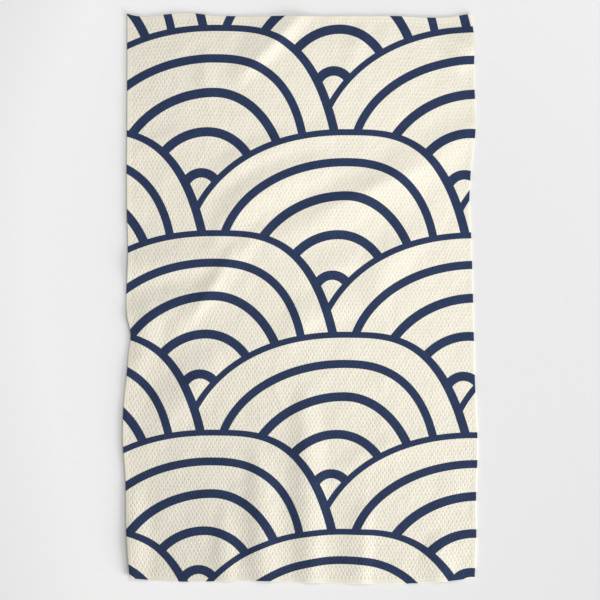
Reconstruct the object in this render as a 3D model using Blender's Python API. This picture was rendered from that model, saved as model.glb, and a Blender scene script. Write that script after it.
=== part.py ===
"""A microfibre kitchen towel, lying face up and a little rumpled on a flat surface.

The towel is one closed sheet, with its hem part of the cloth. Its underside lies flat
on z = 0 but for its folds, which are soft ridges a few millimetres high. X runs across
the towel, Y runs up its long side and Z is up. Lengths are in metres, and the tables
give millimetres from the towel's centre.
"""

from collections import namedtuple

import bmesh
import bpy
import numpy as np

MM = 0.001

WIDTH = 0.406
LENGTH = 0.660
THICKNESS = 0.002
CELLS_ACROSS = 38
CELLS_ALONG = 62

# The share of its full width that a fold keeps at its two ends
END_WIDTH_SHARE = 0.5
CREST_STEPS = 14
# How fast an edge's bow dies away towards the middle of the cloth
BOW_FADE_POWER = 3

CLOTH_COLOUR = (0.83, 0.80, 0.70, 1.0)
CLOTH_ROUGHNESS = 0.9

# How far the edge bows out at a place along it. A minus is a bow inwards.
Bow = namedtuple("Bow", "at_mm out_mm")

LEFT_BOWS = [
    Bow(-330, -5.2),
    Bow(-281, -1.5),
    Bow(-205, 0.2),
    Bow(-165, 3.0),
    Bow(-120, 1.4),
    Bow(-83, -2.4),
    Bow(-62, -3.8),
    Bow(-45, -6.4),
    Bow(-20, -1.9),
    Bow(45, -3.1),
    Bow(115, -1.7),
    Bow(240, -2.2),
    Bow(330, -2.0),
]
RIGHT_BOWS = [
    Bow(-330, 0.0),
    Bow(-300, 1.7),
    Bow(-234, 1.7),
    Bow(-176, 3.4),
    Bow(-100, 0.5),
    Bow(20, -2.4),
    Bow(68, -3.8),
    Bow(110, -6.1),
    Bow(140, -5.0),
    Bow(200, 1.1),
    Bow(254, -0.6),
    Bow(312, -1.8),
    Bow(330, -4.6),
]
TOP_BOWS = [
    Bow(-203, 1.0),
    Bow(-195, -1.2),
    Bow(-163, -0.3),
    Bow(-133, 2.3),
    Bow(-108, -0.3),
    Bow(0, -1.5),
    Bow(116, -1.7),
    Bow(175, -3.0),
    Bow(203, 1.0),
]
BOTTOM_BOWS = [
    Bow(-203, -5.5),
    Bow(-175, -2.6),
    Bow(-46, -2.0),
    Bow(64, 1.5),
    Bow(134, 0.9),
    Bow(175, -2.0),
    Bow(203, -5.5),
]

# A fold's crest runs through three points. Its foot is so far to the left and to the
# right of someone who walks the crest from its start to its end.
Fold = namedtuple(
    "Fold",
    "name start_x start_y middle_x middle_y end_x end_y height left_foot right_foot",
)

FOLDS = [
    Fold("top slant", 22, 345, -35, 297, -78, 245, 3.5, 24, 38),
    Fold("top left pleat", -110, 296, -110, 261, -103, 226, 1.2, 18, 20),
    Fold("top middle pleat", 78, 326, 66, 291, 54, 256, 1.3, 19, 24),
    Fold("top right corner", 180, 262, 194, 286, 216, 320, 2.6, 44, 20),
    Fold("left shoulder", -198, 161, -158, 182, -112, 201, 0.8, 22, 22),
    Fold("upper arc", -118, 100, -60, 164, 70, 196, 1.9, 26, 26),
    Fold("middle arc", -103, 50, -46, 126, 80, 158, 3.2, 34, 36),
    Fold("long slant", -45, 64, 84, 127, 235, 222, 3.3, 36, 42),
    Fold("side slant", 94, -25, 98, 38, 165, 80, 2.2, 34, 34),
    Fold("centre hill roll", 5, 22, 48, 36, 95, 50, 1.6, 34, 16),
    Fold("steep slant", -34, 95, -97, 20, -160, -58, 2.2, 22, 24),
    Fold("left upper roll", -270, 28, -160, 41, -60, 50, 3.2, 36, 30),
    Fold("left lower roll", -235, -38, -165, -10, -85, 14, 2.5, 30, 56),
    Fold("notch pinch", -168, -10, -182, -46, -202, -112, 2.2, 28, 24),
    Fold("centre dimple", -14, -75, 6, -24, 75, -14, 2.2, 40, 26),
    Fold("left broad slant", -92, -62, -124, -100, -190, -190, 2.2, 34, 42),
    Fold("right low slant", 35, -209, 99, -174, 174, -165, 1.2, 24, 26),
    Fold("hem pleat 1", -196, -214, -194, -290, -198, -397, 3.0, 30, 20),
    Fold("hem pleat 2", -90, -237, -87, -299, -86, -409, 2.0, 20, 24),
    Fold("hem pleat 3", -52, -165, -45, -262, -42, -409, 3.2, 32, 28),
    Fold("hem pleat 4", 2, -95, 9, -218, 12, -397, 3.6, 32, 30),
    Fold("hem pleat 5", 76, -230, 72, -290, 70, -397, 2.2, 20, 34),
    Fold("hem pleat 6", 158, -270, 162, -310, 168, -397, 2.0, 30, 28),
    Fold("left edge, upper", -206, -30, -207, 150, -204, 370, 1.4, 10, 50),
    Fold("left edge, lower", -205, -370, -213, -160, -200, -58, 2.0, 10, 50),
]


def remove_all_objects():
    for scene_object in list(bpy.data.objects):
        bpy.data.objects.remove(scene_object, do_unlink=True)


def curve_through(bows, places):
    """The bow at each place, on a smooth curve through a table of bows."""
    at = np.array([bow.at_mm for bow in bows]) * MM
    out = np.array([bow.out_mm for bow in bows]) * MM
    slope = np.gradient(out, at)
    first = np.clip(np.searchsorted(at, places) - 1, 0, len(at) - 2)
    span = at[first + 1] - at[first]
    share = np.clip((places - at[first]) / span, 0, 1)
    rise = share**2 * (3 - 2 * share)
    leave = share * (1 - share) ** 2 * span * slope[first]
    arrive = share**2 * (1 - share) * span * slope[first + 1]
    return out[first] + (out[first + 1] - out[first]) * rise + leave - arrive


def bowed_outline(x, y):
    """Points of the straight-edged cloth, moved so that its four edges bow."""
    to_right = 0.5 + x / WIDTH
    to_top = 0.5 + y / LENGTH
    left = curve_through(LEFT_BOWS, y) * (1 - to_right) ** BOW_FADE_POWER
    right = curve_through(RIGHT_BOWS, y) * to_right**BOW_FADE_POWER
    bottom = curve_through(BOTTOM_BOWS, x) * (1 - to_top) ** BOW_FADE_POWER
    top = curve_through(TOP_BOWS, x) * to_top**BOW_FADE_POWER
    return x + right - left, y + top - bottom


def crest_line(fold):
    """Points along a fold's crest, on a parabola through its start, middle and end."""
    start = np.array([fold.start_x, fold.start_y]) * MM
    middle = np.array([fold.middle_x, fold.middle_y]) * MM
    end = np.array([fold.end_x, fold.end_y]) * MM
    handle = 2 * middle - (start + end) / 2
    t = np.linspace(0, 1, CREST_STEPS + 1)[:, None]
    return (1 - t) ** 2 * start + 2 * t * (1 - t) * handle + t**2 * end


def fold_lift(fold, x, y):
    """How high one fold lifts the cloth at each point."""
    crest = crest_line(fold)
    nearest = np.full(x.shape, np.inf)
    side = np.zeros(x.shape)
    along = np.zeros(x.shape)
    for step in range(CREST_STEPS):
        from_x, from_y = crest[step]
        run_x, run_y = crest[step + 1] - crest[step]
        run = np.hypot(run_x, run_y)
        share = ((x - from_x) * run_x + (y - from_y) * run_y) / run**2
        share = np.clip(share, 0, 1)
        off_x = x - from_x - share * run_x
        off_y = y - from_y - share * run_y
        distance = np.hypot(off_x, off_y)
        closer = distance < nearest
        nearest = np.where(closer, distance, nearest)
        side = np.where(closer, run_x * off_y - run_y * off_x, side)
        along = np.where(closer, (step + share) / CREST_STEPS, along)
    fade = np.sin(np.pi * along)
    foot = np.where(side > 0, fold.left_foot, fold.right_foot) * MM
    foot = foot * (END_WIDTH_SHARE + (1 - END_WIDTH_SHARE) * fade)
    across = (1 - np.clip(nearest / foot, 0, 1) ** 2) ** 3
    return fold.height * MM * fade * across


def cloth_lift(x, y):
    """The height of the cloth's underside over the surface."""
    return sum(fold_lift(fold, x, y) for fold in FOLDS)


def cloth_material():
    material = bpy.data.materials.new("cream microfibre")
    material.use_nodes = True
    shader = material.node_tree.nodes["Principled BSDF"]
    shader.inputs["Base Color"].default_value = CLOTH_COLOUR
    shader.inputs["Roughness"].default_value = CLOTH_ROUGHNESS
    return material


def add_towel():
    """The towel: a bowed grid with its folds, thickened upwards into a sheet."""
    sheet = bmesh.new()
    bmesh.ops.create_grid(
        sheet,
        x_segments=CELLS_ACROSS,
        y_segments=CELLS_ALONG,
        size=0.5,
    )
    flat = np.array([vert.co[:] for vert in sheet.verts])
    x, y = bowed_outline(flat[:, 0] * WIDTH, flat[:, 1] * LENGTH)
    z = cloth_lift(x, y)
    for vert, place in zip(sheet.verts, np.column_stack([x, y, z])):
        vert.co = place
    mesh = bpy.data.meshes.new("towel")
    sheet.to_mesh(mesh)
    sheet.free()
    mesh.materials.append(cloth_material())
    mesh.shade_smooth()

    towel = bpy.data.objects.new("towel", mesh)
    bpy.context.collection.objects.link(towel)
    thicken = towel.modifiers.new("thickness", "SOLIDIFY")
    thicken.thickness = THICKNESS
    thicken.offset = 1
    return towel


def main():
    remove_all_objects()
    add_towel()


main()
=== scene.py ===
"""A printed waffle towel, lying face up and a little rumpled on a plain floor.

The file is laid out as an add-on: one operator makes the towel, another the stage, and
a panel in the sidebar lists their settings. Lengths are in metres, and the tables give
millimetres from the towel's centre, with X across the towel and Y up its long side.
"""

import math
from collections import namedtuple

import bpy
import numpy as np
from bpy.props import FloatProperty
from bpy.props import FloatVectorProperty
from bpy.props import PointerProperty
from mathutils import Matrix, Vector


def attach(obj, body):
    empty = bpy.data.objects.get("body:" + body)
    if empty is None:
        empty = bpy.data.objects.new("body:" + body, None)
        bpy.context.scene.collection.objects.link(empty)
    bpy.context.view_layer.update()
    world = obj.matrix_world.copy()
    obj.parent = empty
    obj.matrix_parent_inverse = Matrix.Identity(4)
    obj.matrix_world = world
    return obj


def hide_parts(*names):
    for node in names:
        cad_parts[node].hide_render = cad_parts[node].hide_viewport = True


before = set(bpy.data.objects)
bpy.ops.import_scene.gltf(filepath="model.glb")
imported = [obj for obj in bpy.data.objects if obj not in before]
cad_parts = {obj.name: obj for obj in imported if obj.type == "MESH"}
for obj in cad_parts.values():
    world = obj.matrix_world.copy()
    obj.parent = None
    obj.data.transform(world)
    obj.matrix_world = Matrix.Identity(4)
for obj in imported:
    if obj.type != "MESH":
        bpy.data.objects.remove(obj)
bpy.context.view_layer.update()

bl_info = {
    "name": "Printed Waffle Towel",
    "version": (1, 0, 0),
    "blender": (4, 5, 0),
    "location": "View3D > Sidebar > Towel",
    "description": "Makes a waffle towel with an overlapping wave print, and its stage",
    "category": "Add Mesh",
}

MM = 0.001

TOWEL_NODE = "towel"
TOWEL_BODY = "root"
CLOTH_PIECE = "towel_cloth"
FLOOR_PIECE = "floor"
WEAVE_PLACE = "weave place"

# The share of its full width that a fold keeps at its two ends
END_WIDTH_SHARE = 0.5
CREST_STEPS = 14
# How fast an edge's bow dies away towards the middle of the cloth
BOW_FADE_POWER = 3

# How far the edge bows out at a place along it. A minus is a bow inwards.
Bow = namedtuple("Bow", "at_mm out_mm")

LEFT_BOWS = [
    Bow(-330, -5.2),
    Bow(-281, -1.5),
    Bow(-205, 0.2),
    Bow(-165, 3.0),
    Bow(-120, 1.4),
    Bow(-83, -2.4),
    Bow(-62, -3.8),
    Bow(-45, -6.4),
    Bow(-20, -1.9),
    Bow(45, -3.1),
    Bow(115, -1.7),
    Bow(240, -2.2),
    Bow(330, -2.0),
]
RIGHT_BOWS = [
    Bow(-330, 0.0),
    Bow(-300, 1.7),
    Bow(-234, 1.7),
    Bow(-176, 3.4),
    Bow(-100, 0.5),
    Bow(20, -2.4),
    Bow(68, -3.8),
    Bow(110, -6.1),
    Bow(140, -5.0),
    Bow(200, 1.1),
    Bow(254, -0.6),
    Bow(312, -1.8),
    Bow(330, -4.6),
]
TOP_BOWS = [
    Bow(-203, 1.0),
    Bow(-195, -1.2),
    Bow(-163, -0.3),
    Bow(-133, 2.3),
    Bow(-108, -0.3),
    Bow(0, -1.5),
    Bow(116, -1.7),
    Bow(175, -3.0),
    Bow(203, 1.0),
]
BOTTOM_BOWS = [
    Bow(-203, -5.5),
    Bow(-175, -2.6),
    Bow(-46, -2.0),
    Bow(64, 1.5),
    Bow(134, 0.9),
    Bow(175, -2.0),
    Bow(203, -5.5),
]

# A fold's crest runs through three points. Its foot is so far to the left and to the
# right of someone who walks the crest from its start to its end.
Fold = namedtuple(
    "Fold",
    "name start_x start_y middle_x middle_y end_x end_y height left_foot right_foot",
)

FOLDS = [
    Fold("top slant", 22, 345, -35, 297, -78, 245, 3.5, 24, 38),
    Fold("top left pleat", -110, 296, -110, 261, -103, 226, 1.2, 18, 20),
    Fold("top middle pleat", 78, 326, 66, 291, 54, 256, 1.3, 19, 24),
    Fold("top right corner", 180, 262, 194, 286, 216, 320, 2.6, 44, 20),
    Fold("left shoulder", -198, 161, -158, 182, -112, 201, 0.8, 22, 22),
    Fold("upper arc", -118, 100, -60, 164, 70, 196, 1.9, 26, 26),
    Fold("middle arc", -103, 50, -46, 126, 80, 158, 3.2, 34, 36),
    Fold("long slant", -45, 64, 84, 127, 235, 222, 3.3, 36, 42),
    Fold("side slant", 94, -25, 98, 38, 165, 80, 2.2, 34, 34),
    Fold("centre hill roll", 5, 22, 48, 36, 95, 50, 1.6, 34, 16),
    Fold("steep slant", -34, 95, -97, 20, -160, -58, 2.2, 22, 24),
    Fold("left upper roll", -270, 28, -160, 41, -60, 50, 3.2, 36, 30),
    Fold("left lower roll", -235, -38, -165, -10, -85, 14, 2.5, 30, 56),
    Fold("notch pinch", -168, -10, -182, -46, -202, -112, 2.2, 28, 24),
    Fold("centre dimple", -14, -75, 6, -24, 75, -14, 2.2, 40, 26),
    Fold("left broad slant", -92, -62, -124, -100, -190, -190, 2.2, 34, 42),
    Fold("right low slant", 35, -209, 99, -174, 174, -165, 1.2, 24, 26),
    Fold("hem pleat 1", -196, -214, -194, -290, -198, -397, 3.0, 30, 20),
    Fold("hem pleat 2", -90, -237, -87, -299, -86, -409, 2.0, 20, 24),
    Fold("hem pleat 3", -52, -165, -45, -262, -42, -409, 3.2, 32, 28),
    Fold("hem pleat 4", 2, -95, 9, -218, 12, -397, 3.6, 32, 30),
    Fold("hem pleat 5", 76, -230, 72, -290, 70, -397, 2.2, 20, 34),
    Fold("hem pleat 6", 158, -270, 162, -310, 168, -397, 2.0, 30, 28),
    Fold("left edge, upper", -206, -30, -207, 150, -204, 370, 1.4, 10, 50),
    Fold("left edge, lower", -205, -370, -213, -160, -200, -58, 2.0, 10, 50),
]
# Small sharp creases, which the towel's plain solid leaves out
CREASES = [
    Fold("top slant's sharp top", 4, 335, -26, 299, -72, 258, 1.0, 13, 13),
    Fold("steep slant's sharp top", -70, 80, -96, 24, -138, -42, 1.0, 12, 13),
    Fold("long slant's sharp top", 20, 98, 90, 130, 165, 162, 0.9, 15, 15),
    Fold("low middle crease", -34, -85, -26, -110, -14, -140, 0.5, 9, 9),
    Fold("top right crease", 160, 322, 178, 302, 208, 284, 1.0, 12, 12),
]

# One line of a hill of the print. Its top is so far right of the hill's top and so deep
# under it. Each flank is part of a rounded arch that stands upright at its reach and
# drop, and a higher power keeps it flat for longer. All but the powers are millimetres.
WaveLine = namedtuple(
    "WaveLine",
    "top_right depth left_reach left_drop left_power right_reach right_drop right_power width",
)

WAVE_LINES = [
    WaveLine(0.0, 0.0, 197.0, 176.0, 2.25, 149.5, 337.0, 3.0, 7.2),
    WaveLine(-4.7, 34.6, 146.0, 113.0, 2.0, 106.5, 146.5, 2.5, 9.7),
    WaveLine(-4.7, 73.5, 115.5, 109.0, 2.0, 83.5, 114.0, 2.0, 10.7),
    WaveLine(-12.8, 118.6, 69.0, 73.0, 2.0, 58.5, 66.0, 2.0, 10.7),
    WaveLine(-19.8, 166.0, 21.5, 23.5, 2.0, 21.5, 23.5, 2.0, 11.0),
]
# How much wider the outer line is where its right flank stands upright
UPRIGHT_WIDENING_MM = 3.4
UPRIGHT_WIDENING_POWER = 1.5
# Keeps the sum of an arch from dividing by nought at its centre
LEAST_ARCH_SHARE = 0.0001
# The rows of hills: the first row's top, rows to a millimetre there, how these grow
# down the towel, how a row leans down to the right, and how that grows row by row
FIRST_ROW_TOP_MM = 314.0
ROWS_PER_MM = 0.00825
ROWS_PER_MM_GROWTH = 5.2e-07
ROW_LEAN = 0.006
ROW_LEAN_GROWTH = 0.001
# Where a hill's top is in the first row, and how far the hills shift left on the way down
HILL_TOP_X_MM = 59.5
HILL_SHIFT = 0.007
# The cloth is pulled to the right in its lower right quarter: how far at most, how far
# right of the middle that is, how high the pull begins, and how far under that it is
# full. A higher power makes it set in more slowly.
PULL_MM = 7.0
PULL_REACH_MM = 155.0
PULL_TOP_MM = -80.0
PULL_DROP_MM = 230.0
PULL_DOWN_POWER = 1.5
PULL_ACROSS_POWER = 1.6

# The rounded rim's two nodes, counted in from the edge, and the seam's two nodes,
# counted out from the hem's inner border
RIM_PLACES = [0.0002, 0.0005]
SEAM_PLACES = [0.0010, 0.0005]
# How far each ring of the hem's nodes stands over the cloth, from the edge inwards
HEM_RISES = [-0.0003, -0.0001, 0.0, 0.0, -0.00012, 0.0]
# The ring of nodes along the bottom of the seam, and the hem's innermost ring
SEAM_RING = 4
HEM_RINGS = 5
# How high the rounded rim's lower edge stands over the cloth's underside
RIM_UNDERCUT = 0.0004
# How deep the ridges sag between two crossings, as a share of the cell's depth: those
# that run down to the right, and those that run up to the right
DOWN_RIGHT_SAG = 0.2
UP_RIGHT_SAG = 0.5
# How deep the underside's pits are, as a share of the cell's depth
UNDERSIDE_DEPTH_SHARE = 0.5
# Small puckers of the cloth's face: how many waves of random direction, phase and
# length they are made of, and the standard deviation of their height
PUCKER_SEED = 26
PUCKER_WAVES = 60
PUCKER_LENGTHS = (0.010, 0.050)
PUCKER_HEIGHT = 0.00013

# The net of ridges in the bump: its height as a share of the cell's depth, and that of
# the ridges that run up to the right as a share of those that run down to it
NET_HEIGHT_SHARE = 0.9
UP_RIGHT_SHARE = 0.9
# How uneven the net is: how far its ridges sway, in half cells, and how its height varies
SWAY_SIZE = 0.012
SWAY = 1.2
UNEVEN_SIZE = 0.005
UNEVEN = 1.4
# The threads that the ridges and pits are woven from, and the fuzz on them
THREAD_SIZE = 0.00045
THREAD_HEIGHT = 0.00004
FUZZ_SIZE = 0.0004
FUZZ_HEIGHT = 0.00003
# Painted shade: how much darker the pits and the seam's groove are drawn, and how much the
# fuzz and broad patches vary at random
PAINTED_PIT_SHADE = 0.06
PAINTED_SEAM_SHADE = 0.03
FUZZ_SHADE = 0.05
PATCH_SIZE = 0.08
PATCH_SHADE = 0.03
# How mottled the ink is
INK_MOTTLE_SIZE = 0.006
INK_MOTTLE = 0.5
INK_MOTTLE_DETAIL = 4.0
# Matt microfibre, with a faint sheen from its fine loops
CLOTH_ROUGHNESS = 0.9
CLOTH_ROUGHNESS_SPREAD = 0.15
CLOTH_SPECULAR = 0.15
CLOTH_SHEEN = 0.12
CLOTH_SHEEN_ROUGHNESS = 0.5

# A matt floor with a fine grain
FLOOR_ROUGHNESS = 0.9
FLOOR_SPECULAR = 0.0
FLOOR_GRAIN_SIZE = 0.002
FLOOR_GRAIN_SHADE = 0.01
# The most that the floor's colour is raised where it is far from the soft boxes
STRONGEST_GRADING = 1.33
# The floor's side, and its corners in half sides
FLOOR_SIDE = 8.0
FLOOR_CORNERS = [(-1, -1, 0), (1, -1, 0), (1, 1, 0), (-1, 1, 0)]
# How far the middle of the view lies from the towel's centre, up its long side
VIEW_CENTRE_Y = -0.0017
# The width of the camera's sensor, in millimetres
SENSOR_WIDTH = 36.0

# How the nodes of a material are laid out
NODES_TO_A_ROW = 12
NODE_SPACE_X = 180
NODE_SPACE_Y = 190
# A Mix node's factor, A and B sockets, for numbers and for colours
MIX_NUMBER_SOCKETS = (0, 2, 3)
MIX_COLOUR_SOCKETS = (0, 6, 7)
MIX_NUMBER_RESULT = 0
MIX_COLOUR_RESULT = 2
NOISE_DETAIL = 2.0


class TowelClothSettings(bpy.types.PropertyGroup):
    """Sizes and colours of the towel's cloth."""

    width: FloatProperty(
        name="Width",
        description="Flat width of the towel",
        default=0.406,
        min=0.1,
        unit="LENGTH",
    )
    length: FloatProperty(
        name="Length",
        description="Flat length of the towel",
        default=0.660,
        min=0.1,
        unit="LENGTH",
    )
    thickness: FloatProperty(
        name="Thickness",
        description="Height of the waffle's ridges over the surface the cloth lies on",
        default=0.002,
        min=0.0005,
        precision=4,
        unit="LENGTH",
    )
    cell_width: FloatProperty(
        name="Cell Width",
        description="Width of a waffle cell, across the towel",
        default=0.0045,
        min=0.002,
        precision=4,
        unit="LENGTH",
    )
    cell_length: FloatProperty(
        name="Cell Length",
        description="Length of a waffle cell, along the towel",
        default=0.0083,
        min=0.002,
        precision=4,
        unit="LENGTH",
    )
    cell_depth: FloatProperty(
        name="Cell Depth",
        description="Depth of a waffle cell under its ridges",
        default=0.0005,
        min=0.0,
        precision=5,
        unit="LENGTH",
    )
    hem_width: FloatProperty(
        name="Hem Width",
        description="Width of the plain hem, out to the cloth's edge",
        default=0.0032,
        min=0.003,
        precision=4,
        unit="LENGTH",
    )
    cloth_colour: FloatVectorProperty(
        name="Cloth Colour",
        description="Colour of the unprinted cloth",
        default=(0.770, 0.732, 0.622),
        min=0.0,
        max=1.0,
        subtype="COLOR",
    )


class TowelPrintSettings(bpy.types.PropertyGroup):
    """Sizes and colour of the wave print."""

    hill_width: FloatProperty(
        name="Hill Width",
        description="Distance between neighbouring hills of one row",
        default=0.306,
        min=0.05,
        precision=4,
        unit="LENGTH",
    )
    row_height: FloatProperty(
        name="Row Height",
        description="Distance between the tops of two rows",
        default=0.118,
        min=0.02,
        precision=4,
        unit="LENGTH",
    )
    ink_bleed: FloatProperty(
        name="Ink Bleed",
        description="How far the ink fades out at a line's edge",
        default=0.0004,
        min=0.00001,
        precision=5,
        unit="LENGTH",
    )
    ink_colour: FloatVectorProperty(
        name="Ink Colour",
        description="Colour of the printed lines",
        default=(0.0195, 0.0343, 0.0845),
        min=0.0,
        max=1.0,
        subtype="COLOR",
    )


class TowelStageSettings(bpy.types.PropertyGroup):
    """The floor, the lights and the camera."""

    floor_colour: FloatVectorProperty(
        name="Floor Colour",
        description="Colour of the floor under the towel",
        default=(0.728, 0.728, 0.728),
        min=0.0,
        max=1.0,
        subtype="COLOR",
    )
    brightness: FloatProperty(
        name="Brightness",
        description="Light on the towel's centre, where 1 shows a white surface as white",
        default=1.22,
        min=0.0,
    )
    side_share: FloatProperty(
        name="Side Share",
        description="Share of the light that comes from the low soft box at the side",
        default=0.30,
        min=0.0,
        max=1.0,
        subtype="FACTOR",
    )
    side_place: FloatVectorProperty(
        name="Side Place",
        description="Middle of the low soft box",
        default=(1.35, -1.18, 0.58),
        subtype="XYZ",
        unit="LENGTH",
    )
    side_size: FloatProperty(
        name="Side Size",
        description="Side of the low soft box, which is square",
        default=1.0,
        min=0.1,
        unit="LENGTH",
    )
    top_share: FloatProperty(
        name="Top Share",
        description="Share of the light that comes from the high soft box",
        default=0.39,
        min=0.0,
        max=1.0,
        subtype="FACTOR",
    )
    top_place: FloatVectorProperty(
        name="Top Place",
        description="Middle of the high soft box",
        default=(0.11, 0.24, 0.65),
        subtype="XYZ",
        unit="LENGTH",
    )
    top_size: FloatProperty(
        name="Top Size",
        description="Side of the high soft box, which is square",
        default=0.40,
        min=0.1,
        unit="LENGTH",
    )
    room_share: FloatProperty(
        name="Room Share",
        description="Share of the light that comes evenly from all round",
        default=0.31,
        min=0.0,
        max=1.0,
        subtype="FACTOR",
    )
    view_width: FloatProperty(
        name="View Width",
        description="Width of floor that the camera sees",
        default=0.698,
        min=0.1,
        unit="LENGTH",
    )
    lens: FloatProperty(
        name="Lens",
        description="Focal length of the camera in millimetres",
        default=85.0,
        min=10.0,
        unit="CAMERA",
    )


# The cloth


def curve_through(bows, places):
    """The bow at each place, on a smooth curve through a table of bows."""
    at = np.array([bow.at_mm for bow in bows]) * MM
    out = np.array([bow.out_mm for bow in bows]) * MM
    slope = np.gradient(out, at)
    first = np.clip(np.searchsorted(at, places) - 1, 0, len(at) - 2)
    span = at[first + 1] - at[first]
    share = np.clip((places - at[first]) / span, 0, 1)
    rise = share**2 * (3 - 2 * share)
    leave = share * (1 - share) ** 2 * span * slope[first]
    arrive = share**2 * (1 - share) * span * slope[first + 1]
    return out[first] + (out[first + 1] - out[first]) * rise + leave - arrive


def bowed_outline(x, y, width, length):
    """Points of the straight-edged cloth, moved so that its four edges bow."""
    to_right = 0.5 + x / width
    to_top = 0.5 + y / length
    left = curve_through(LEFT_BOWS, y) * (1 - to_right) ** BOW_FADE_POWER
    right = curve_through(RIGHT_BOWS, y) * to_right**BOW_FADE_POWER
    bottom = curve_through(BOTTOM_BOWS, x) * (1 - to_top) ** BOW_FADE_POWER
    top = curve_through(TOP_BOWS, x) * to_top**BOW_FADE_POWER
    return x + right - left, y + top - bottom


def crest_line(fold):
    """Points along a fold's crest, on a parabola through its start, middle and end."""
    start = np.array([fold.start_x, fold.start_y]) * MM
    middle = np.array([fold.middle_x, fold.middle_y]) * MM
    end = np.array([fold.end_x, fold.end_y]) * MM
    handle = 2 * middle - (start + end) / 2
    t = np.linspace(0, 1, CREST_STEPS + 1)[:, None]
    return (1 - t) ** 2 * start + 2 * t * (1 - t) * handle + t**2 * end


def fold_lift(fold, x, y):
    """How high one fold lifts the cloth at each point."""
    crest = crest_line(fold)
    nearest = np.full(x.shape, np.inf)
    side = np.zeros(x.shape)
    along = np.zeros(x.shape)
    for step in range(CREST_STEPS):
        from_x, from_y = crest[step]
        run_x, run_y = crest[step + 1] - crest[step]
        run = np.hypot(run_x, run_y)
        share = ((x - from_x) * run_x + (y - from_y) * run_y) / run**2
        share = np.clip(share, 0, 1)
        off_x = x - from_x - share * run_x
        off_y = y - from_y - share * run_y
        distance = np.hypot(off_x, off_y)
        closer = distance < nearest
        nearest = np.where(closer, distance, nearest)
        side = np.where(closer, run_x * off_y - run_y * off_x, side)
        along = np.where(closer, (step + share) / CREST_STEPS, along)
    fade = np.sin(np.pi * along)
    foot = np.where(side > 0, fold.left_foot, fold.right_foot) * MM
    foot = foot * (END_WIDTH_SHARE + (1 - END_WIDTH_SHARE) * fade)
    across = (1 - np.clip(nearest / foot, 0, 1) ** 2) ** 3
    return fold.height * MM * fade * across


def cloth_lift(x, y):
    """The height of the cloth's underside over the surface."""
    return sum(fold_lift(fold, x, y) for fold in FOLDS + CREASES)


def pucker(x, y):
    """How far small puckers lift the cloth's face at each point."""
    chance = np.random.default_rng(PUCKER_SEED)
    height = np.zeros(x.shape)
    for _ in range(PUCKER_WAVES):
        turn, phase = chance.uniform(0, 2 * np.pi, 2)
        length = chance.uniform(*PUCKER_LENGTHS)
        across = x * np.cos(turn) + y * np.sin(turn)
        height += np.sin(2 * np.pi * across / length + phase) * length
    return height / height.std() * PUCKER_HEIGHT


def node_places(size, half_cell, hem_width):
    """Places of the nodes over one side of the cloth: hem nodes, then even half cells."""
    seam = [hem_width - place for place in SEAM_PLACES]
    hem = np.array([0, *RIM_PLACES, *seam, hem_width])
    inner = size - 2 * hem_width
    count = round(inner / half_cell)
    even = hem_width + inner * np.arange(1, count) / count
    return np.concatenate([hem, even, size - hem[::-1]]) - size / 2


def cell_centres(values):
    """The mean of each cell's four nodes."""
    return (values[:-1, :-1] + values[1:, :-1] + values[:-1, 1:] + values[1:, 1:]) / 4


def sheet_faces(rows, columns):
    """Faces of the closed sheet, and how many of them its top and its rim have.

    The cells are poked on top and plain below.
    """
    nodes = np.arange((rows + 1) * (columns + 1)).reshape(rows + 1, columns + 1)
    centres = np.arange(rows * columns).reshape(rows, columns) + nodes.size
    below = nodes + nodes.size + centres.size
    corners = [nodes[:-1, :-1], nodes[:-1, 1:], nodes[1:, 1:], nodes[1:, :-1]]
    faces = []
    for corner in range(4):
        here = corners[corner]
        after = corners[(corner + 1) % 4]
        faces += np.stack([here, after, centres], axis=-1).reshape(-1, 3).tolist()
    top_count = len(faces)
    under = [below[:-1, :-1], below[1:, :-1], below[1:, 1:], below[:-1, 1:]]
    faces += np.stack(under, axis=-1).reshape(-1, 4).tolist()
    rim = np.concatenate([nodes[0, :-1], nodes[:-1, -1], nodes[-1, :0:-1], nodes[:0:-1, 0]])
    rim_below = rim + nodes.size + centres.size
    rim_faces = [np.roll(rim, -1), rim, rim_below, np.roll(rim_below, -1)]
    faces += np.stack(rim_faces, axis=-1).tolist()
    return faces, top_count, rim.size


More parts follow.
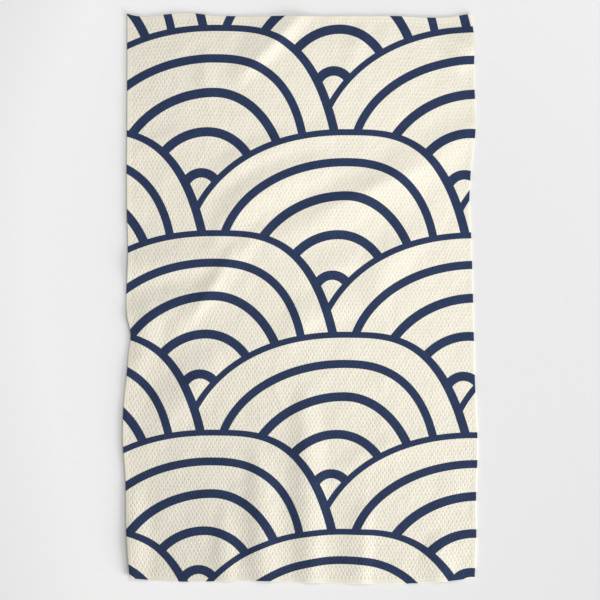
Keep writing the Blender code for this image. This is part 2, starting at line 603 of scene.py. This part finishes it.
def waffle_sheet(cloth):
    """Vertices, weave places and faces of the towel as one closed, folded sheet."""
    across = node_places(cloth.width, cloth.cell_width / 2, cloth.hem_width)
    along = node_places(cloth.length, cloth.cell_length / 2, cloth.hem_width)
    columns = len(across) - 1
    rows = len(along) - 1
    row_number, column_number = np.mgrid[0 : rows + 1, 0 : columns + 1].astype(float)
    flat_x, flat_y = np.meshgrid(across, along)
    x, y = bowed_outline(flat_x, flat_y, cloth.width, cloth.length)
    lift = cloth_lift(x, y)

    ring = np.minimum(
        np.minimum(column_number, columns - column_number),
        np.minimum(row_number, rows - row_number),
    )
    crossing = (row_number + column_number) % 2 == 0
    pit = np.where(crossing, 0, cloth.cell_depth)
    pit = np.where(ring <= HEM_RINGS, 0, pit)
    rise = np.take(HEM_RISES, np.minimum(ring, HEM_RINGS).astype(int))
    top = lift + cloth.thickness - pit + rise + pucker(x, y)
    bottom = lift + np.where(ring == 0, RIM_UNDERCUT, pit * UNDERSIDE_DEPTH_SHARE)

    centre_x, centre_y = bowed_outline(
        cell_centres(flat_x), cell_centres(flat_y), cloth.width, cloth.length
    )
    # A ridge sags a little between two crossings
    runs_up_right = (row_number + column_number)[:-1, :-1] % 2 == 0
    sag = np.where(runs_up_right, UP_RIGHT_SAG, DOWN_RIGHT_SAG)
    centre_top = cell_centres(top + pit) - cell_centres(pit) * 2 * sag

    vertices = np.concatenate(
        [
            np.stack([x, y, top], axis=-1).reshape(-1, 3),
            np.stack([centre_x, centre_y, centre_top], axis=-1).reshape(-1, 3),
            np.stack([x, y, bottom], axis=-1).reshape(-1, 3),
        ]
    )
    # One where the waffle is, nought on the hem, and minus one along its seam
    inside = np.clip(ring - HEM_RINGS, 0, 1) - (ring == SEAM_RING)
    node_weave = np.stack([column_number, row_number, inside], axis=-1).reshape(-1, 3)
    centre_weave = np.stack(
        [cell_centres(column_number), cell_centres(row_number), cell_centres(inside)],
        axis=-1,
    ).reshape(-1, 3)
    weave = np.concatenate([node_weave, centre_weave, node_weave])
    return vertices, weave, *sheet_faces(rows, columns)


# Materials


class Board:
    """Lays nodes into a node tree, row after row, and wires them up."""

    def __init__(self, tree):
        self.tree = tree
        self.count = 0

    def node(self, kind, **settings):
        node = self.tree.nodes.new(kind)
        row, column = divmod(self.count, NODES_TO_A_ROW)
        node.location = (column * NODE_SPACE_X, -row * NODE_SPACE_Y)
        self.count += 1
        for name, value in settings.items():
            setattr(node, name, value)
        return node

    def feed(self, socket, value):
        if isinstance(value, Wire):
            self.tree.links.new(value.socket, socket)
        else:
            socket.default_value = value

    def math(self, operation, *values, clamp=False):
        node = self.node("ShaderNodeMath", operation=operation, use_clamp=clamp)
        for socket, value in zip(node.inputs, values):
            self.feed(socket, value)
        return Wire(self, node.outputs[0])

    def pick(self, test, if_one, if_nought):
        """One of two values, or a blend where the test is between nought and one."""
        node = self.node("ShaderNodeMix", data_type="FLOAT")
        for socket, value in zip(MIX_NUMBER_SOCKETS, (test, if_nought, if_one)):
            self.feed(node.inputs[socket], value)
        return Wire(self, node.outputs[MIX_NUMBER_RESULT])

    def blend_colours(self, share, under, over):
        node = self.node("ShaderNodeMix", data_type="RGBA")
        for socket, value in zip(MIX_COLOUR_SOCKETS, (share, under, over)):
            self.feed(node.inputs[socket], value)
        return Wire(self, node.outputs[MIX_COLOUR_RESULT])

    def scale_colour(self, colour, factor):
        node = self.node("ShaderNodeVectorMath", operation="SCALE")
        self.feed(node.inputs[0], colour)
        self.feed(node.inputs["Scale"], factor)
        return Wire(self, node.outputs[0])

    def noise(self, place, size, detail=NOISE_DETAIL):
        """Smooth noise about nought, between about -0.5 and 0.5, of a size in metres."""
        node = self.node("ShaderNodeTexNoise")
        self.feed(node.inputs["Vector"], place)
        node.inputs["Scale"].default_value = 1 / size
        node.inputs["Detail"].default_value = detail
        return Wire(self, node.outputs[0]) - 0.5

    def split(self, place):
        node = self.node("ShaderNodeSeparateXYZ")
        self.feed(node.inputs[0], place)
        return [Wire(self, output) for output in node.outputs]


class Wire:
    """A value that comes out of a node, which can be reckoned with like a number."""

    def __init__(self, board, socket):
        self.board = board
        self.socket = socket

    def __add__(self, other):
        return self.board.math("ADD", self, other)

    def __sub__(self, other):
        return self.board.math("SUBTRACT", self, other)

    def __rsub__(self, other):
        return self.board.math("SUBTRACT", other, self)

    def __mul__(self, other):
        return self.board.math("MULTIPLY", self, other)

    def __truediv__(self, other):
        return self.board.math("DIVIDE", self, other)

    def __rtruediv__(self, other):
        return self.board.math("DIVIDE", other, self)

    def __pow__(self, other):
        return self.board.math("POWER", self, other)

    def __abs__(self):
        return self.board.math("ABSOLUTE", self)

    def below(self, other):
        return self.board.math("LESS_THAN", self, other)

    def above(self, other):
        return self.board.math("GREATER_THAN", self, other)

    def smaller(self, other):
        return self.board.math("MINIMUM", self, other)

    def larger(self, other):
        return self.board.math("MAXIMUM", self, other)

    def fraction(self):
        return self.board.math("FRACT", self)

    def clamped(self):
        return self.board.math("ADD", self, 0.0, clamp=True)


def arch_distance(out, fall, reach, drop, power):
    """How far a point is inside an arch, and how upright the arch stands beside it."""
    across = out / reach
    up = (drop - fall).larger(0.0) / drop
    share = (across**power + up**power) ** (1 / power)
    share = share.larger(LEAST_ARCH_SHARE)
    pull_across = (across / share) ** (power - 1) / reach
    pull_up = (up / share) ** (power - 1) / drop
    pull = (pull_across * pull_across + pull_up * pull_up) ** 0.5
    return (1 - share) / pull, pull_across / pull


def outer_half(upright):
    """Half the outer line's width on its right flank."""
    widening = upright**UPRIGHT_WIDENING_POWER * (UPRIGHT_WIDENING_MM / 2)
    return widening + WAVE_LINES[0].width / 2


def hill_edge(out, depth, right_flank):
    """How far a point is inside the outer edge of a hill, and below nought outside it."""
    line = WAVE_LINES[0]
    if right_flank:
        arch = (line.right_reach, line.right_drop, line.right_power)
        inside, upright = arch_distance(out, depth, *arch)
        return inside + outer_half(upright)
    arch = (line.left_reach, line.left_drop, line.left_power)
    inside, _ = arch_distance(out, depth, *arch)
    return inside + line.width / 2


def line_ink(line, is_outer, right, depth, bleed):
    """The ink of one line of a hill, from nought to one."""
    on_left = right.below(line.top_right)
    out = abs(right - line.top_right)

    def by_side(left_value, right_value):
        if left_value == right_value:
            return right_value
        return on_left * (left_value - right_value) + right_value

    reach = by_side(line.left_reach, line.right_reach)
    drop = by_side(line.left_drop, line.right_drop)
    power = by_side(line.left_power, line.right_power)
    inside, upright = arch_distance(out, depth - line.depth, reach, drop, power)
    half = line.width / 2
    if is_outer:
        half = right.board.pick(on_left, half, outer_half(upright))
    return ((half - abs(inside)) / bleed + 0.5).clamped()


def wave_print_group(wave):
    """A node group that turns a place on the towel into the print's ink."""
    group = bpy.data.node_groups.new("overlapping waves", "ShaderNodeTree")
    group.interface.new_socket("Place", in_out="INPUT", socket_type="NodeSocketVector")
    group.interface.new_socket("Ink", in_out="OUTPUT", socket_type="NodeSocketFloat")
    board = Board(group)
    place = Wire(board, board.node("NodeGroupInput").outputs[0])
    x, y, _ = board.split(place)
    x = x / MM
    y = y / MM
    # The print moves with the cloth where it is pulled
    pulled_down = ((PULL_TOP_MM - y).larger(0.0) / PULL_DROP_MM) ** PULL_DOWN_POWER
    pulled_across = (x.larger(0.0) / PULL_REACH_MM) ** PULL_ACROSS_POWER
    x = x - pulled_down * pulled_across * PULL_MM
    rim_height = WAVE_LINES[0].width / 2
    down = FIRST_ROW_TOP_MM + rim_height - y

    hill_width = wave.hill_width / MM
    row_height = wave.row_height / MM
    bleed = wave.ink_bleed / MM
    # How many rows down this place is, and where it is in its own row
    rows_down = down * (down * ROWS_PER_MM_GROWTH + ROWS_PER_MM)
    lean = (rows_down * ROW_LEAN_GROWTH + ROW_LEAN) * x / row_height
    rows_down = rows_down - lean
    row_share = rows_down.fraction()
    row = rows_down - row_share
    # Every second row is shifted by half a hill
    shift = 0.5 - (row / 2).fraction()
    from_top = x + down * HILL_SHIFT - HILL_TOP_X_MM
    front_share = (from_top / hill_width - shift).fraction()
    back_share = (front_share + 0.5).fraction()
    front_right = front_share * hill_width
    back_right = back_share * hill_width
    front_depth = row_share * row_height - rim_height
    back_depth = front_depth + row_height

    # Three hills may cover this place: two of its own row, with one behind them
    left_edge = hill_edge(front_right, front_depth, right_flank=True)
    right_edge = hill_edge(hill_width - front_right, front_depth, right_flank=False)
    back_edge = hill_edge(back_right, back_depth, right_flank=True)
    in_front_left = left_edge.above(bleed / 2)
    in_front_right = right_edge.above(bleed / 2)
    in_back_left = back_edge.above(bleed / 2)
    back = board.pick(in_back_left, back_right, back_right - hill_width)
    front = board.pick(in_front_left, front_right, front_right - hill_width)
    in_front = in_front_left.larger(in_front_right)
    right = board.pick(in_front, front, back)
    depth = board.pick(in_front, front_depth, back_depth)

    ink = line_ink(WAVE_LINES[0], True, right, depth, bleed)
    for line in WAVE_LINES[1:]:
        ink = ink.larger(line_ink(line, False, right, depth, bleed))
    # The edges of hills in front bleed into the one that shows
    behind_front = 1 - in_front
    for edge, seen in [
        (left_edge, 1 - in_front_left),
        (right_edge, behind_front),
        (back_edge, behind_front * (1 - in_back_left)),
    ]:
        ink = ink.larger((edge / bleed + 0.5).clamped() * seen)
    output = board.node("NodeGroupOutput")
    board.feed(output.inputs[0], ink)
    return group


def waffle_net(board, place):
    """The net's height, from nought in its pits to about one, and where the seam is."""
    attribute = board.node("ShaderNodeAttribute", attribute_name=WEAVE_PLACE)
    column, row, inside = board.split(Wire(board, attribute.outputs["Vector"]))
    column = column + board.noise(place, SWAY_SIZE) * SWAY
    down_right = abs(board.math("COSINE", (column + row) * (math.pi / 2)))
    up_right = abs(board.math("COSINE", (column - row) * (math.pi / 2)))
    unevenness = board.noise(place, UNEVEN_SIZE) * UNEVEN + 1
    net = down_right.larger(up_right * UP_RIGHT_SHARE) * unevenness
    return board.pick(inside.clamped(), net, 1.0), (0.0 - inside).clamped()


def cloth_material(name, cloth, wave=None):
    """Waffle microfibre in the cloth's colour, with the wave print if one is given."""
    material = bpy.data.materials.new(name)
    material.use_nodes = True
    tree = material.node_tree
    shader = tree.nodes["Principled BSDF"]
    board = Board(tree)
    coordinates = board.node("ShaderNodeTexCoord")
    place = Wire(board, coordinates.outputs["Object"])
    x, y, _ = board.split(place)

    net, seam = waffle_net(board, place)
    fuzz = board.noise(place, FUZZ_SIZE)
    patch = board.noise(place, PATCH_SIZE)
    # The pits and the seam's groove are darkened with painted shade; the fuzz and broad
    # patches only vary the cloth's own tone
    shade = net * PAINTED_PIT_SHADE + (1 - PAINTED_PIT_SHADE) - seam * PAINTED_SEAM_SHADE
    shade = shade + fuzz * FUZZ_SHADE + patch * PATCH_SHADE
    colour = board.scale_colour((*cloth.cloth_colour,), shade)
    if wave is not None:
        group = board.node("ShaderNodeGroup", node_tree=wave_print_group(wave))
        board.feed(group.inputs[0], place)
        mottle = board.noise(place, INK_MOTTLE_SIZE, INK_MOTTLE_DETAIL) * INK_MOTTLE + 1
        ink_colour = board.scale_colour((*wave.ink_colour,), mottle)
        colour = board.blend_colours(Wire(board, group.outputs[0]), colour, ink_colour)
    board.feed(shader.inputs["Base Color"], colour)
    board.feed(shader.inputs["Roughness"], fuzz * CLOTH_ROUGHNESS_SPREAD + CLOTH_ROUGHNESS)

    weft = abs(board.math("SINE", x * (math.pi / THREAD_SIZE)))
    warp = abs(board.math("SINE", y * (math.pi / THREAD_SIZE)))
    threads = (weft + warp) * (THREAD_HEIGHT / 2) + fuzz * FUZZ_HEIGHT
    height = net * (cloth.cell_depth * NET_HEIGHT_SHARE) + threads
    bump = board.node("ShaderNodeBump")
    bump.inputs["Distance"].default_value = 1.0
    board.feed(bump.inputs["Height"], height)
    board.feed(shader.inputs["Normal"], Wire(board, bump.outputs[0]))
    shader.inputs["Specular IOR Level"].default_value = CLOTH_SPECULAR
    shader.inputs["Sheen Weight"].default_value = CLOTH_SHEEN
    shader.inputs["Sheen Roughness"].default_value = CLOTH_SHEEN_ROUGHNESS
    return material


def light_from(board, place, lamp_place, share):
    """The light on level ground from one soft box, over that under the towel's centre."""
    lamp_place = Vector(lamp_place)
    towards = board.node("ShaderNodeVectorMath", operation="SUBTRACT")
    towards.inputs[0].default_value = lamp_place
    board.feed(towards.inputs[1], place)
    towards = Wire(board, towards.outputs["Vector"])
    length = board.node("ShaderNodeVectorMath", operation="LENGTH")
    board.feed(length.inputs[0], towards)
    length = Wire(board, length.outputs["Value"])
    aimed = board.node("ShaderNodeVectorMath", operation="DOT_PRODUCT")
    board.feed(aimed.inputs[0], towards)
    aimed.inputs[1].default_value = lamp_place.normalized()
    aimed = (Wire(board, aimed.outputs["Value"]) / length).larger(0.0)
    # The light falls with the square of the distance, and once more with its slant
    return (lamp_place.length / length) ** 3 * aimed * share


def floor_material(stage):
    """A pale floor, graded a little so that it looks even under the soft boxes."""
    material = bpy.data.materials.new("pale floor")
    material.use_nodes = True
    tree = material.node_tree
    shader = tree.nodes["Principled BSDF"]
    board = Board(tree)
    coordinates = board.node("ShaderNodeTexCoord")
    place = Wire(board, coordinates.outputs["Object"])
    from_side = light_from(board, place, stage.side_place, stage.side_share)
    from_top = light_from(board, place, stage.top_place, stage.top_share)
    light = from_side + from_top + stage.room_share
    grain = board.noise(place, FLOOR_GRAIN_SIZE) * FLOOR_GRAIN_SHADE
    grading = (1 / light).smaller(STRONGEST_GRADING) + grain
    colour = board.scale_colour((*stage.floor_colour,), grading)
    board.feed(shader.inputs["Base Color"], colour)
    shader.inputs["Roughness"].default_value = FLOOR_ROUGHNESS
    shader.inputs["Specular IOR Level"].default_value = FLOOR_SPECULAR
    return material


class TOWEL_OT_cloth(bpy.types.Operator):
    """Make the printed towel in the place of its plain solid"""

    bl_idname = "towel.cloth"
    bl_label = "Make Towel Cloth"

    def execute(self, context):
        cloth = context.scene.towel_cloth
        vertices, weave, faces, top_count, rim_count = waffle_sheet(cloth)
        mesh = bpy.data.meshes.new(CLOTH_PIECE)
        mesh.from_pydata(vertices.tolist(), [], faces)
        place = mesh.attributes.new(WEAVE_PLACE, "FLOAT_VECTOR", "POINT")
        place.data.foreach_set("vector", weave.ravel())
        mesh.materials.append(
            cloth_material("printed waffle face", cloth, context.scene.towel_print)
        )
        mesh.materials.append(cloth_material("plain waffle back", cloth))
        is_back = np.zeros(len(faces), dtype=np.int32)
        is_back[top_count : len(faces) - rim_count] = 1
        mesh.polygons.foreach_set("material_index", is_back)
        mesh.shade_smooth()
        if mesh.validate():
            raise RuntimeError("the towel's mesh has bad faces")

        towel = bpy.data.objects.new(CLOTH_PIECE, mesh)
        context.collection.objects.link(towel)
        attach(towel, TOWEL_BODY)
        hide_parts(TOWEL_NODE)
        return {"FINISHED"}


class TOWEL_OT_stage(bpy.types.Operator):
    """Make the floor, the soft light and the camera"""

    bl_idname = "towel.stage"
    bl_label = "Make Stage"

    def execute(self, context):
        scene = context.scene
        stage = scene.towel_stage
        scene.view_settings.view_transform = "Standard"
        side_light = stage.side_share * stage.brightness
        top_light = stage.top_share * stage.brightness
        self.add_soft_box(
            context, "side soft box", stage.side_place, stage.side_size, side_light
        )
        self.add_soft_box(
            context, "top soft box", stage.top_place, stage.top_size, top_light
        )
        self.add_floor(context, stage)
        self.add_room_light(scene, stage)
        self.add_camera(context, stage)
        return {"FINISHED"}

    def add_soft_box(self, context, name, place, size, strength):
        """A lamp aimed at the towel, with so much light on the towel's centre."""
        towards = Vector(place)
        distance = towards.length
        rise = towards.z / distance
        light = bpy.data.lights.new(name, "AREA")
        light.size = size
        light.energy = strength * (math.pi * distance) ** 2 / rise
        lamp = bpy.data.objects.new(name, light)
        lamp.location = towards
        lamp.rotation_euler = towards.to_track_quat("Z", "Y").to_euler()
        lamp.visible_camera = False
        context.collection.objects.link(lamp)

    def add_floor(self, context, stage):
        mesh = bpy.data.meshes.new(FLOOR_PIECE)
        corners = [Vector(corner) * (FLOOR_SIDE / 2) for corner in FLOOR_CORNERS]
        mesh.from_pydata(corners, [], [(0, 1, 2, 3)])
        mesh.materials.append(floor_material(stage))
        floor = bpy.data.objects.new(FLOOR_PIECE, mesh)
        context.collection.objects.link(floor)

    def add_room_light(self, scene, stage):
        world = bpy.data.worlds.new("even room light")
        world.use_nodes = True
        background = world.node_tree.nodes["Background"]
        background.inputs["Color"].default_value = (1, 1, 1, 1)
        background.inputs["Strength"].default_value = stage.room_share * stage.brightness
        scene.world = world

    def add_camera(self, context, stage):
        camera = bpy.data.cameras.new("camera over the towel")
        camera.lens = stage.lens
        camera.sensor_width = SENSOR_WIDTH
        viewer = bpy.data.objects.new("camera over the towel", camera)
        height = stage.view_width * stage.lens / SENSOR_WIDTH
        viewer.location = (0, VIEW_CENTRE_Y, height)
        context.collection.objects.link(viewer)
        context.scene.camera = viewer


class TOWEL_PT_panel(bpy.types.Panel):
    """The towel's operators and their settings"""

    bl_idname = "TOWEL_PT_panel"
    bl_label = "Printed Waffle Towel"
    bl_space_type = "VIEW_3D"
    bl_region_type = "UI"
    bl_category = "Towel"

    def draw(self, context):
        scene = context.scene
        for settings, operator in [
            (scene.towel_cloth, TOWEL_OT_cloth),
            (scene.towel_print, None),
            (scene.towel_stage, TOWEL_OT_stage),
        ]:
            box = self.layout.box()
            for name in settings.__annotations__:
                box.prop(settings, name)
            if operator is not None:
                box.operator(operator.bl_idname)


CLASSES = (
    TowelClothSettings,
    TowelPrintSettings,
    TowelStageSettings,
    TOWEL_OT_cloth,
    TOWEL_OT_stage,
    TOWEL_PT_panel,
)


def register():
    for each in CLASSES:
        bpy.utils.register_class(each)
    bpy.types.Scene.towel_cloth = PointerProperty(type=TowelClothSettings)
    bpy.types.Scene.towel_print = PointerProperty(type=TowelPrintSettings)
    bpy.types.Scene.towel_stage = PointerProperty(type=TowelStageSettings)


def unregister():
    del bpy.types.Scene.towel_stage
    del bpy.types.Scene.towel_print
    del bpy.types.Scene.towel_cloth
    for each in reversed(CLASSES):
        bpy.utils.unregister_class(each)


def main():
    register()
    bpy.ops.towel.stage()
    bpy.ops.towel.cloth()


if __name__ == "__main__":
    main()
